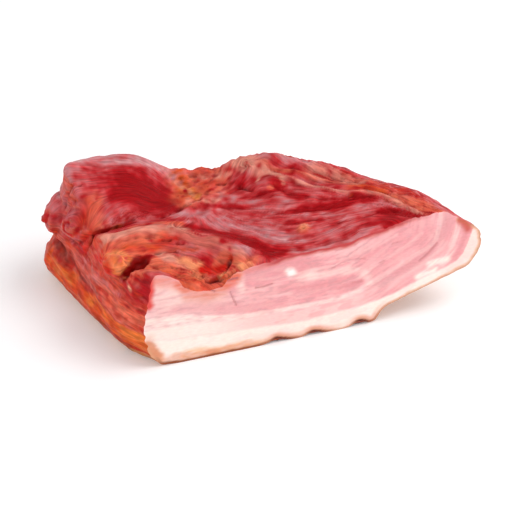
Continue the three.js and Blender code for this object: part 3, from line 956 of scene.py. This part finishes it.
CUT_STAINS = [  # colour, strength, half width, line in x and z
    ("light pink", 0.8, 9, [(0, 42), (12, 40), (30, 34)]),
    ("wisp", 0.8, 5, [(3, 41), (12, 38), (24, 34), (32, 33)]),
    ("wisp", 0.5, 2, [(2, 33), (16, 32), (28, 30)]),
    ("light pink", 0.5, 5, [(20, 30), (40, 27), (60, 27)]),
    ("deep pink", 0.5, 5, [(46, 40), (56, 41), (78, 43)]),
    ("deep pink", 0.45, 2.4, [(12, 30), (24, 29), (34, 27)]),
    ("deep pink", 0.45, 2.4, [(34, 24), (50, 22.5), (66, 22.5)]),
    ("deep pink", 0.6, 3.4, [(74, 26.5), (92, 26.5), (103, 25.3)]),
    ("deep pink", 0.8, 1.4, [(99, 24.5), (107, 24.8)]),
    # Painted shade in a small crease.
    ("cut crease", 0.35, 0.8, [(103, 25.4), (107, 25.4)]),
    ("deep pink", 0.4, 5, [(108, 38), (124, 44), (142, 48)]),
    ("deep pink", 0.3, 2.4, [(116, 31), (126, 35), (136, 41), (142, 46)]),
    ("lean pink", 0.6, 1.5, [(74, 16), (74, 11)]),
    ("wisp", 0.6, 2.2, [(74, 34), (80, 34), (86, 34), (92, 33), (99, 32.5)]),
    ("wisp", 0.6, 1.6, [(97, 33), (103, 32.2), (108, 30), (111, 26.5), (111, 23)]),
    ("light pink", 0.5, 1.2, [(96, 40), (110, 42), (124, 47)]),
    ("light pink", 0.5, 1.0, [(112, 32), (122, 36), (131, 40), (138, 45)]),
    ("grey pink", 0.7, 3.0, [
        (118, 21.5), (127, 25), (134, 28.5), (142, 33), (147, 39), (150.5, 47), (152, 54),
    ]),
    ("deep pink", 0.5, 2.4, [(126, 26), (134, 30), (142, 34), (147, 40), (151, 48)]),
    ("light pink", 0.6, 1.8, [(124, 20), (132, 24), (139, 27.5), (146, 32), (150, 37)]),
    ("lean pink", 0.5, 1.4, [(128, 20), (136, 24), (142, 27), (149, 32)]),
    ("cream", 0.7, 1.9, [(137, 21), (141, 22), (145, 23.5)]),
    ("cream", 0.7, 1.7, [(143, 27), (148, 28), (152, 28.5)]),
    ("wisp", 0.55, 1.8, [(150, 26), (153.5, 29), (155, 34), (156.5, 39), (158, 46)]),
    ("deep pink", 0.8, 1.8, [(157.5, 29), (160, 33), (161.5, 38), (160.8, 44)]),
    ("white fat", 0.9, 2.2, [(69.2, 37.3), (70, 37.4)]),
    ("wisp", 0.9, 2.6, [(79.5, 34.6), (81.5, 34.2)]),
    ("wisp", 0.8, 1.8, [(44.3, 43), (44.2, 38), (44.7, 33)]),
    ("salmon", 0.75, 2.6, [(14, 42), (18, 38), (24, 36), (30, 34.6), (36, 37), (42, 40)]),
    ("salmon", 0.85, 2.2, [(34, 39), (38, 40), (43, 41)]),
    ("pale membrane", 0.5, 3, [(18, 35), (26, 33), (36, 34)]),
    ("salmon", 0.5, 1.6, [(42, 43), (50, 43.5), (58, 44.5)]),
    ("salmon", 0.55, 3.5, [(2, 48), (8, 46), (14, 44)]),
    ("deep pink", 0.6, 2, [(48, 42), (60, 43.5), (69, 45.5)]),
    ("pale amber", 0.9, 2.2, [(16, 3.2), (22, 4.2), (27, 3.4), (34, 2)]),
    ("pale amber", 0.8, 1.9, [(34, 1.6), (42, 3), (48, 2.8), (58, 1.6)]),
    ("pale amber", 0.7, 2.0, [(-2, 12), (1, 8), (4, 4)]),
]
FATS = ("white fat", "cream", "pale amber")  # stains that are laid on again over the layers
# The creases are painted darker: painted shade in these small tears.
CUT_CREASES = [  # strength, half width, line in x and z
    (0.7, 0.45, [(52, 33.2), (56.3, 32.8), (60.4, 33.4)]),
    (0.4, 0.35, [(91, 35.5), (96, 37.6), (100.4, 38.3), (104.6, 38), (108.3, 37.2)]),
    (0.5, 0.35, [(116, 33.5), (118.4, 34)]),
    (0.45, 0.6, [(137.5, 30.2), (142, 33.5), (146.5, 38)]),
    (0.6, 0.4, [(39.2, 33.6), (40.7, 29.4), (42.2, 25.8)]),
    (0.4, 0.35, [(122.3, 42.6), (125.5, 43)]),
    (1.0, 0.5, [(34, 39.8), (38, 40), (43, 40.2)]),
    (0.8, 0.5, [(28, 38), (30, 36.4), (31.5, 35.4)]),
]

# %% Places and patterns on the cut
def heights(line, x):
    return np.interp(x, *np.array(line, float).T)


def beside_line(x, z, line):
    """How far along a line a place is, and how far above it, in mm."""
    line = np.array(line, float)
    along, above, nearest, run = np.zeros(len(x)), np.zeros(len(x)), np.full(len(x), 1e9), 0
    for a, b in zip(line[:-1], line[1:]):
        way, length = b - a, np.hypot(*(b - a))
        t = np.clip(((x - a[0]) * way[0] + (z - a[1]) * way[1]) / length**2, 0, 1)
        dx, dz = x - a[0] - t * way[0], z - a[1] - t * way[1]
        away = np.hypot(dx, dz)
        near = away < nearest
        nearest = np.where(near, away, nearest)
        above = np.where(near, np.sign(way[0] * dz - way[1] * dx) * away, above)
        along = np.where(near, run + t * length, along)
        run += length
    return along, above


def cut_patterns(places):
    """Wavy heights, and streaks that run along the white line of fat."""
    c = SimpleNamespace(x=places[:, 0], z=places[:, 2])
    wave = 0.6 * uneven(places, (16, 9, 6), 41)
    c.w = c.z + wave + 0.28 * uneven(places, (5, 9, 2.2), 42)
    along, c.above = beside_line(c.x, c.w, LINE_LOW)
    layered = np.column_stack([along, 0 * c.x, c.above])
    c.broad = uneven(layered, (22, 9, 3.2), 46)
    c.streak = uneven(layered, (13, 9, 1.5), 43)
    c.grain = uneven(layered, (4, 9, 0.9), 44)
    c.cloud = uneven(places, (9, 9, 6), 45, 2)
    c.low = c.w - heights(FAT_TOP, c.x)
    c.patchy = ease(-0.25, 0.15, uneven(places, (15, 9, 9), 47))
    return c

# %% The pink lean of the cut
def paint_cut_lean(c):
    x, streak, grain, cloud = c.x, c.streak, c.grain, c.cloud
    calm = 1 - 0.5 * ease(100, 130, x)
    paint = glaze(
        one_colour("lean pink", len(x)),
        ("light pink", 0.5 * ease(45, 10, x)),
        ("light pink", 0.7 * calm * ease(0, 0.5, c.broad + 0.6 * streak)),
        ("deep pink", 0.5 * ease(0.0, 0.5, -c.broad - 0.5 * streak + 0.3 * cloud)),
        ("light pink", 0.5 * calm * ease(0.1, 0.5, streak + 0.6 * grain)),
        ("grey pink", 0.7 * calm * ease(0.1, 0.5, -streak - 0.8 * grain)),
        ("light pink", 0.5 * (1 - calm) * ease(-0.2, 0.5, cloud + grain)),
    )
    broken = np.clip(0.85 + 0.8 * streak + 0.4 * grain, 0, 1.1)
    for name, strength, half_width, line in CUT_STAINS:
        mask = near_line(x + 1.2 * cloud, c.w + 0.5 * cloud, line, half_width, 0.8)
        paint = glaze(paint, (name, strength * mask * broken))
    return paint

# %% The layers of fat, and the thin lean between them
def paint_cut_fat(paint, c):
    x, grain, cloud = c.x, c.grain, c.cloud
    pale = (1 - ease(-0.9, 0.9, c.above)) * ease(-1, 1, c.low) * (1 - ease(96, 120, x))
    soft = 0.8 + 2.2 * ease(30, 0, x) + 0.6 * ease(110, 130, x)
    line = ease(-0.6, 0.6, c.above) * (1 - ease(-soft, soft, c.w - heights(LINE_HIGH, x)))
    line *= 1 - ease(148, 154, x)
    strength = 0.85 - 0.2 * ease(30, 60, x) - 0.4 * ease(96, 120, x)
    back_fat = 1 - ease(-0.9, 0.9, c.low)
    blush = 0.25 * ease(10, 60, x) + 0.6 * ease(146, 156, x) + 0.35 * ease(0, 0.5, c.broad + cloud)
    paint = glaze(
        paint,
        ("thin pink", 0.9 * pale),
        ("lean pink", 0.6 * pale * ease(20, 60, x) * ease(-0.1, 0.35, cloud + c.streak)),
        ("cream", 0.8 * pale * ease(60, 22, x)),
        ("cream", strength * line * np.clip(0.9 + 0.5 * grain + 0.6 * cloud, 0, 1)),
        ("cream", back_fat),
        ("wisp", back_fat * blush),
    )
    broken = np.clip(1 + 1.2 * grain + 0.8 * cloud, 0.3, 1)
    for name, strength, half_width, line in CUT_STAINS:
        if name in FATS:
            mask = near_line(x, c.w + cloud, line, half_width, 0.9)
            paint = glaze(paint, (name, strength * broken * mask))
    return paint

# %% The edges of the cut: smoke, rind and folds
LEFT_EDGE = [(-1, 16), (0.5, 7), (3.5, 1)]
TORN_EDGE = [(-0.6, 52), (-0.4, 42), (-1.4, 35)]
NOSE_EDGE = [(158.5, 48.5), (161.3, 46), (163, 43)]


def paint_cut_edges(paint, c, rim, skyline):
    """Paints by the distance from the rind, and from the smoked lean on top."""
    x, z, cloud = c.x, c.z, c.cloud
    smoke_in = (1 - ease(1.4, 3.4, skyline + 1.2 * cloud)) * ease(50, 66, x) * ease(148, 120, x)
    red_edge = smoke_in * (1 - ease(0.8, 2.2, skyline + 0.8 * cloud))
    amber_edge = (1 - ease(2.6, 5.2, rim + 2 * cloud)) * ease(62, 44, x)
    amber_edge *= 0.6 + 0.4 * c.patchy
    tan = 1 - ease(0.7, 1.9, rim - 0.7 * cloud - 0.4 * ease(100, 140, x))
    brown = 1 - ease(0.4, 1.1, rim - 0.4 * cloud - 0.7 * ease(62, 50, x))
    brown *= (0.4 + 0.6 * ease(62, 52, x)) * ease(0, 6, x)
    paint = glaze(
        paint,
        ("dusky pink", 0.6 * smoke_in),
        ("smoked red", 0.9 * red_edge),
        ("smoked edge", 0.95 * amber_edge),
        ("tan skin", 0.8 * tan),
        ("smoked edge", 0.4 * near_line(x + cloud, z, LEFT_EDGE, 2.4, 1)),
        ("brown skin", brown),
        ("bright salmon", near_line(x + cloud, z, TORN_EDGE, 2.7, 0.5)),
        ("smoky lean", 0.85 * near_line(x + cloud, z, NOSE_EDGE, 2, 0.8)),
    )
    for at, half_width in RIND_FOLDS:  # a fold's mouth trails off to the right
        tail = (x - at) / half_width / (1 + 1.2 * ease(0, half_width, x - at))
        paint = glaze(
            paint,
            ("smoked edge", 0.8 * bell(0.7 * tail) * (1 - ease(2.2, 4.6, rim))),
            ("brown skin", 0.7 * bell(tail) * (1 - ease(1.0, 2.0, rim))),
            ("fold shade", bell(1.1 * tail) * (1 - ease(1.0, 1.4, rim))),
        )
    return paint

# %% Put the cut together
def cut_paint(places, rim, skyline):
    c = cut_patterns(places)
    paint = paint_cut_fat(paint_cut_lean(c), c)
    paint = paint_cut_edges(paint, c, rim, skyline)
    # Painted shade in the creases.
    for strength, half_width, line in CUT_CREASES:
        mask = near_line(c.x, c.z + 0.3 * c.cloud, line, half_width, 0.8)
        paint = glaze(paint, ("cut crease", strength * mask))
    return paint

# %% [markdown]
# ## Paint on the points
# The net is fine enough to hold the paint at its points, so no image is needed. Three measures go into
# it: how deep a point lies in a groove, how far it is from the rind's edge, and how far from the edge
# of the smoked lean. The creases of the cut are opened first, because they are small tears.

# %% Measure the grooves and the edges
def groove_depth(piece, places, facing, rounds=12):
    """How far each point lies under the mean of its neighbourhood, in mm."""
    ends = np.empty(2 * len(piece.data.edges), int)
    piece.data.edges.foreach_get("vertices", ends)
    a, b = ends.reshape(-1, 2).T
    count = np.bincount(a, minlength=len(places)) + np.bincount(b, minlength=len(places))
    mean = places.copy()
    for _ in range(rounds):
        total = np.zeros_like(mean)
        for i in range(3):
            total[:, i] = np.bincount(a, mean[b, i], len(mean)) + np.bincount(b, mean[a, i], len(mean))
        mean = 0.5 * mean + 0.5 * total / count[:, None]
    return ((mean - places) * facing).sum(1)


def rim_distance(piece, places, rind=True):
    """How far each point of the cut is from the rind, or else from the lean on top, in mm."""
    bm = bmesh.new()
    bm.from_mesh(piece.data)
    edge = {v.index for e in bm.edges if not e.smooth for v in e.verts}
    bm.free()
    x, _, z = places.T
    by_rind = (z < 12) | (x > 114) & (z < 40) | (x > 158)  # low down, and round the nose
    rim = [i for i in sorted(edge) if by_rind[i] == rind]
    tree = kdtree.KDTree(len(rim))
    for i in rim:
        tree.insert(places[i], i)
    tree.balance()
    distance = np.full(len(places), 99.0)
    for i in np.nonzero(np.abs(places[:, 1]) < 1.5)[0]:
        distance[i] = tree.find(places[i])[2]
    return distance

# %% Open the creases and write the paint
def write_colour(piece, name, colours):
    layer = piece.data.color_attributes.new(name, "FLOAT_COLOR", "POINT")
    layer.data.foreach_set("color", np.column_stack([colours, np.ones(len(colours))]).ravel())


def write_number(piece, name, values):
    layer = piece.data.attributes.new(name, "FLOAT", "POINT")
    layer.data.foreach_set("value", np.asarray(values, float))


def open_creases(piece):
    """The cut's creases are small tears that go into the face."""
    places = points_of(piece)
    on_cut = np.abs(places[:, 1]) < 0.01
    inward = np.zeros(len(places))
    for depth, half_width, line in CUT_CREASES:
        opened = 0.7 * depth * near_line(places[:, 0], places[:, 2], line, half_width, 0.9)
        inward = np.maximum(inward, opened)
    inward += 0.12 * (1 + uneven(places, (7, 7, 2.2), 51))
    places[on_cut, 1] += inward[on_cut]
    piece.data.vertices.foreach_set("co", frame_metres(places).ravel())
    piece.data.update()


open_creases(slab)
places, facing = points_of(slab), facing_of(slab)
cavity = groove_depth(slab, places, facing)
masks = surface_masks(places, facing)
write_colour(slab, "smoked_paint", smoked_paint(places, facing, cavity))
rim, skyline = rim_distance(slab, places), rim_distance(slab, places, rind=False)
write_colour(slab, "cut_paint", cut_paint(places, rim, skyline))
write_number(slab, "strand", strand_number(places))
write_number(slab, "on_top", masks["top"] * (1 - tangle(places)))
print("grooves, mm:", np.round(np.percentile(cavity, [1, 50, 99]), 2))

# %% [markdown]
# ## Finishes
# Smoked lean is dry meat under a thin glaze of its own fat and salt: dark red, with a soft, patchy
# shine. An IOR of 1.45 and a roughness of 0.4 to 0.6 are a usual start for it, and the shine of this
# slab asks for 0.3 to 0.5. Its specular level is low, because the white studio is all round it and
# would lay a pale veil over the red. The fresh cut is moist, pale and more translucent, so more light
# goes in and comes out again. It starts from an IOR of 1.40 to 1.45 and a roughness of 0.3 to 0.5.
#
# The paint has the colours, the layers and the broad sheen, which is painted reflection. The nodes add the
# fibres, which are finer than the net.

# %% One function adds a node
def set_sockets(node, values):
    for key, value in values.items():
        node.inputs[key].default_value = value


def add(tree, kind, links=None, sockets=None, **settings):
    node = tree.nodes.new("ShaderNode" + kind)
    for key, value in settings.items():
        setattr(node, key, value)
    set_sockets(node, sockets or {})
    for key, source in (links or {}).items():
        tree.links.new(source, node.inputs[key])
    return node


def painted(material, paint_name, pattern, shade, bump):
    """The points' paint, made lighter and darker by a pattern that is also the bump: fibre grain, and with
    it painted shade in the bump's hollows and painted highlight on its ridges.
    """
    tree, shader = material.node_tree, material.node_tree.nodes["Principled BSDF"]
    paint = add(tree, "Attribute", attribute_name=paint_name)
    shaded = add(tree, "MapRange", {"Value": pattern}, shade)
    tint = {0: paint.outputs["Color"], 1: shaded.outputs[0]}
    tint = add(tree, "VectorMath", tint, operation="MULTIPLY")
    tree.links.new(tint.outputs[0], shader.inputs["Base Color"])
    raised = add(tree, "Bump", {"Height": pattern}, bump)
    tree.links.new(raised.outputs[0], shader.inputs["Normal"])
    return shader

# %% Smoked lean and fat: dark, fibrous, with patches of grease
TOP_FIBRES = (120, 120, 1.1)  # x and y per metre, and per strand number: fibres about 1 mm apart
SIDE_FIBRES = (140, 140, 900)  # per metre: fibres 7 mm long and 1.1 mm apart
GREASE = 140.0  # per metre: patches of 7 mm


def finish_smoked(material):
    material.use_nodes = True
    tree = material.node_tree
    place = add(tree, "TexCoord").outputs["Object"]
    strand = add(tree, "Attribute", attribute_name="strand")
    on_top = add(tree, "Attribute", attribute_name="on_top")
    split = add(tree, "SeparateXYZ", {0: place})
    along = {0: split.outputs["X"], 1: split.outputs["Y"], 2: strand.outputs["Fac"]}
    along = add(tree, "CombineXYZ", along).outputs[0]
    fibres = []
    for way, scale in ((place, SIDE_FIBRES), (along, TOP_FIBRES)):
        scaled = add(tree, "Mapping", {0: way}, {"Scale": scale}).outputs[0]
        noisy = add(tree, "TexNoise", {"Vector": scaled}, {"Scale": 1.0, "Detail": 4.0})
        fibres.append(noisy.outputs["Fac"])
    fibre = add(tree, "Mix", {"Factor": on_top.outputs["Fac"], "A": fibres[0], "B": fibres[1]})
    shader = painted(
        material, "smoked_paint", fibre.outputs["Result"],
        {"From Min": 0.32, "From Max": 0.68, "To Min": 0.7, "To Max": 1.25},
        {"Strength": 0.45, "Distance": 0.0006},
    )
    grease = add(tree, "TexNoise", {"Vector": place}, {"Scale": GREASE, "Detail": 3.0})
    shine = {"From Min": 0.3, "From Max": 0.7, "To Min": 0.3, "To Max": 0.5}
    gloss = add(tree, "MapRange", {"Value": grease.outputs["Fac"]}, shine)
    tree.links.new(gloss.outputs[0], shader.inputs["Roughness"])
    set_sockets(shader, {
        "IOR": 1.45, "Specular IOR Level": 0.06,
        "Subsurface Weight": 0.1, "Subsurface Radius": (1.0, 0.3, 0.2), "Subsurface Scale": 0.002,
    })

# %% Fresh cut belly: pale, moist, a little translucent
CUT_GRAIN = (420, 420, 1100)  # per metre: 2.4 by 0.9 mm, coarser than real fibres, so that it shows


def finish_fresh(material):
    material.use_nodes = True
    tree = material.node_tree
    place = add(tree, "TexCoord").outputs["Object"]
    scaled = add(tree, "Mapping", {0: place}, {"Scale": CUT_GRAIN}).outputs[0]
    grain = add(tree, "TexNoise", {"Vector": scaled}, {"Scale": 1.0, "Detail": 3.0})
    shader = painted(
        material, "cut_paint", grain.outputs["Fac"],
        {"From Min": 0.3, "From Max": 0.7, "To Min": 0.94, "To Max": 1.04},
        {"Strength": 0.2, "Distance": 0.0004},
    )
    set_sockets(shader, {
        "IOR": 1.42, "Roughness": 0.45, "Specular IOR Level": 0.3,
        "Subsurface Weight": 0.25, "Subsurface Radius": (1.0, 0.4, 0.25), "Subsurface Scale": 0.002,
    })


finish_smoked(smoked)
finish_fresh(fresh)
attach(slab, "root")
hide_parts("bacon_slab")
print("finishes:", [material.name for material in slab.data.materials])

# %% [markdown]
# ## Studio
# The slab lies on white paper under six broad, soft lamps: the strongest is high at the right, and the
# others fill in from low down and from behind, so that no side goes black. The paper glows faintly,
# because in the picture the ground is almost pure white.

# %% Paper and sky
PAPER_WHITE, PAPER_GLOW = "#F7F6F7", "#FFFCFD"
SKY = 0.47  # strength of the even light from all round

bm = bmesh.new()
bmesh.ops.create_grid(bm, x_segments=1, y_segments=1, size=2.0)
floor = piece_from(bm, "floor")
paper = bpy.data.materials.new("white_paper")
paper.use_nodes = True
set_sockets(paper.node_tree.nodes["Principled BSDF"], {
    "Base Color": (*linear(PAPER_WHITE), 1), "Roughness": 0.9,
    "Emission Color": (*linear(PAPER_GLOW), 1), "Emission Strength": 0.1,
})
floor.data.materials.append(paper)

scene = bpy.context.scene
scene.view_settings.view_transform = "Standard"
world = bpy.data.worlds.new("studio")
world.use_nodes = True
set_sockets(world.node_tree.nodes["Background"], {"Color": (1, 1, 1, 1), "Strength": SKY})
scene.world = world

# %% Lamps and camera
LAMPS = [  # name, place in metres, width and height, watts
    ("key", (0.55, -0.25, 0.92), (0.8, 0.7), 6.2),
    ("front", (0.0, -0.95, 0.45), (0.9, 0.5), 0.3),
    ("low right", (0.6, -0.55, 0.2), (0.8, 0.3), 2.3),
    ("right", (0.8, 0.35, 0.2), (0.5, 0.3), 2.0),
    ("left", (-0.9, -0.2, 0.45), (0.7, 0.5), 3.4),
    ("back", (-0.2, 0.8, 0.5), (0.8, 0.3), 1),
]
LAMP_AIM = (0, 0, 0.02)  # the middle of the slab
CAMERA_AT, CAMERA_AIM = (-0.2800, -0.7407, 0.4691), (-0.0007, -0.0130, 0.0191)
LENS = 124.6  # mm


def place_in_studio(name, data, at, aim):
    made = bpy.data.objects.new(name, data)
    made.location = at
    made.rotation_euler = (Vector(aim) - Vector(at)).to_track_quat("-Z", "Y").to_euler()
    scene.collection.objects.link(made)
    return made


for name, at, size, watts in LAMPS:
    light = bpy.data.lights.new(name, "AREA")
    light.shape = "RECTANGLE"
    light.size, light.size_y = size
    light.energy = watts
    place_in_studio(name, light, at, LAMP_AIM)

scene.camera = place_in_studio("camera", bpy.data.cameras.new("camera"), CAMERA_AT, CAMERA_AIM)
scene.camera.data.lens = LENS
print(len(LAMPS), "lamps, camera", round((Vector(CAMERA_AIM) - Vector(CAMERA_AT)).length, 2), "m away")
